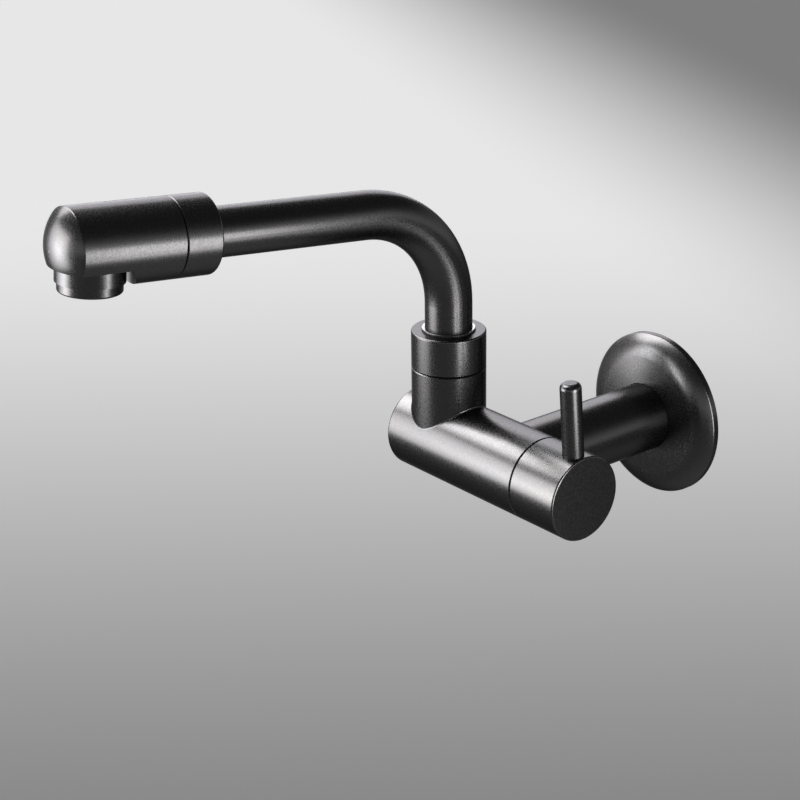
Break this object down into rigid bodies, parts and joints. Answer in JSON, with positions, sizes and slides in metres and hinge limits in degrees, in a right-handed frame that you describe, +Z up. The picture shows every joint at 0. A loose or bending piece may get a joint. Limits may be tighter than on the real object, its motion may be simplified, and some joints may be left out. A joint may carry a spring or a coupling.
{
  "type": "wall-mounted kitchen faucet",
  "caption": "Wall-mounted single-temperature kitchen faucet with a bent swivel spout, a turning nozzle with an aerator and an end handle with a lever pin.",
  "frame": {"origin": "centre of the wall flange, on the inlet thread's axis, in the plane of the wall", "axes": "+Y into the wall along the inlet thread, +X along the valve barrel towards the handle, +Z up"},
  "size_m": [0.0904, 0.224, 0.1354],
  "materials": {
    "gunmetal": "satin gunmetal plating on brass",
    "raw_brass": "turned",
    "rubber": "moulded, matt",
    "foam_rubber": "closed-cell foam",
    "alumina": "lapped",
    "nylon": "stamped",
    "bush_nylon": "moulded, polished",
    "stainless": "plain",
    "jet_plastic": "moulded"
  },
  "bodies": {
    "tap_body": {"wall_flange": "gunmetal", "flange_gasket": "foam_rubber", "flange_grip_ring": "rubber", "inlet_pipe": "gunmetal", "valve_body": "gunmetal", "cartridge_housing": "raw_brass", "housing_o_ring": "rubber", "fixed_ceramic_disc": "alumina", "seat_seal": "rubber", "cartridge_nut": "raw_brass", "handle_guide_ring": "nylon", "collar_nut": "gunmetal", "collar_bush": "bush_nylon", "spout_washers": "nylon"},
    "handle": {"handle_knob": "gunmetal", "lever_pin": "gunmetal", "handle_grub_screw": "stainless", "cartridge_spindle": "raw_brass", "spindle_o_rings": "rubber", "spindle_clip": "stainless", "turning_ceramic_disc": "alumina"},
    "spout": {"spout_tube": "gunmetal", "spout_nipple": "raw_brass", "spout_o_rings": "rubber", "nozzle_nipple": "raw_brass", "nozzle_o_rings": "rubber"},
    "nozzle": {"nozzle_ring": "gunmetal", "nozzle_washers": "nylon", "nozzle_head": "gunmetal", "aerator_housing": "gunmetal", "aerator_gasket": "rubber", "aerator_screen": "stainless", "aerator_insert": "jet_plastic"}
  },
  "joints": [
    {"name": "handle_turn", "type": "hinge", "parent": "tap_body", "child": "handle", "pos_m": [0, -0.0699, 0], "axis": [1, 0, 0], "range_deg": [-4.3, 85.7]},
    {"name": "spout_swivel", "type": "hinge", "parent": "tap_body", "child": "spout", "pos_m": [-0.0302, -0.0699, 0.0335], "axis": [0, 0, 1], "range_deg": [-100.1, 109.9]},
    {"name": "nozzle_turn", "type": "hinge", "parent": "spout", "child": "nozzle", "pos_m": [-0.033, -0.10258, 0.08496], "axis": [-0.0851, -0.9924, 0.0889], "range_deg": [-90, 90]}
  ]
}
